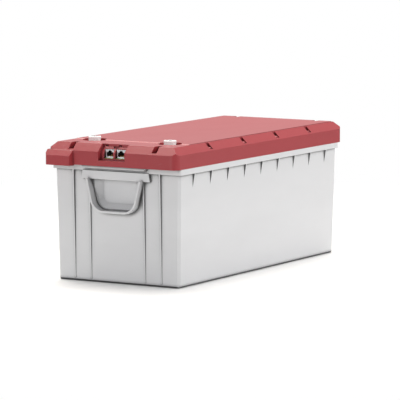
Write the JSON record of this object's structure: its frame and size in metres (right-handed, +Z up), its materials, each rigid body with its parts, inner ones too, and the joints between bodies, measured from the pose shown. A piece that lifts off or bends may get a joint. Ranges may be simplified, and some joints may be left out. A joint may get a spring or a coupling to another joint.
{
  "type": "lithium iron phosphate battery",
  "caption": "Closed lithium iron phosphate battery: prismatic cells strapped between end frames in a moulded tub with a bevelled screwed lid, terminals and network ports.",
  "frame": {"origin": "centre of the case's base, on the surface that it stands on", "axes": "+Z up, +Y along the case towards the plain back end, +X to the right when the port end is looked at"},
  "size_m": [0.238, 0.5574, 0.228],
  "materials": {
    "board_dark_green": "solder mask",
    "board_green": "solder mask",
    "board_light_green": "solder mask",
    "bracket_black": "powder coated",
    "busbar_metal": "rolled",
    "bushing_white": "smooth",
    "case_plastic": "fine moulded grain, satin",
    "cell_blue": "shrunk film over aluminium",
    "frame_black": "moulded, matt",
    "gasket_rubber": "matt",
    "insulator_brown": "moulded",
    "jack_metal": "tinned shield",
    "lid_plastic": "smooth moulded, low gloss",
    "nut_metal": "plated",
    "pad_yellow": "insulating film",
    "plug_black": "moulded",
    "plug_white": "moulded",
    "post_white": "moulded",
    "riser_copper": "bare copper strip",
    "screw_red": "painted to match the lid",
    "screw_zinc": "zinc plated, bluish",
    "sheet_olive": "pressed epoxy sheet",
    "spacer_brass": "turned",
    "strap_green": "woven polyester strapping",
    "terminal_metal": "turned and plated",
    "tray_aluminium": "folded sheet"
  },
  "bodies": {
    "root": {"case": "case_plastic", "lid": "lid_plastic", "lid_gasket": "gasket_rubber", "lid_screws": "screw_red", "terminal_positive": "terminal_metal", "terminal_negative": "terminal_metal", "bushing_positive": "bushing_white", "bushing_negative": "bushing_white", "end_frame_front": "frame_black", "end_frame_rear": "frame_black", "strap_upper": "strap_green", "strap_lower": "strap_green", "cell_separators": "sheet_olive", "cell_01": "cell_blue", "cell_02": "cell_blue", "cell_03": "cell_blue", "cell_04": "cell_blue", "cell_05": "cell_blue", "cell_06": "cell_blue", "cell_07": "cell_blue", "cell_08": "cell_blue", "cell_09": "cell_blue", "cell_10": "cell_blue", "cell_11": "cell_blue", "cell_12": "cell_blue", "cell_13": "cell_blue", "cell_14": "cell_blue", "cell_15": "cell_blue", "cell_16": "cell_blue", "busbar_left_1": "busbar_metal", "busbar_left_2": "busbar_metal", "busbar_left_3": "busbar_metal", "busbar_left_4": "busbar_metal", "busbar_plus": "busbar_metal", "busbar_right_1": "busbar_metal", "busbar_right_2": "busbar_metal", "busbar_right_3": "busbar_metal", "busbar_minus": "busbar_metal", "busbar_nuts": "nut_metal", "insulator_left": "insulator_brown", "insulator_right": "insulator_brown", "riser_positive": "riser_copper", "riser_minus": "riser_copper", "riser_negative": "riser_copper", "bms_bracket": "bracket_black", "bracket_pads": "pad_yellow", "bracket_posts": "post_white", "bracket_screws": "screw_zinc", "bms_tray": "tray_aluminium", "bms_spacers": "spacer_brass", "bms_board": "board_green", "bms_connectors": "plug_white", "bms_heat_plate": "tray_aluminium", "interface_board": "board_light_green", "network_jack_left": "jack_metal", "network_jack_right": "jack_metal", "interface_header": "plug_black", "board_screws": "screw_zinc", "radio_board": "board_dark_green", "antenna_stub": "plug_black"}
  },
  "joints": []
}
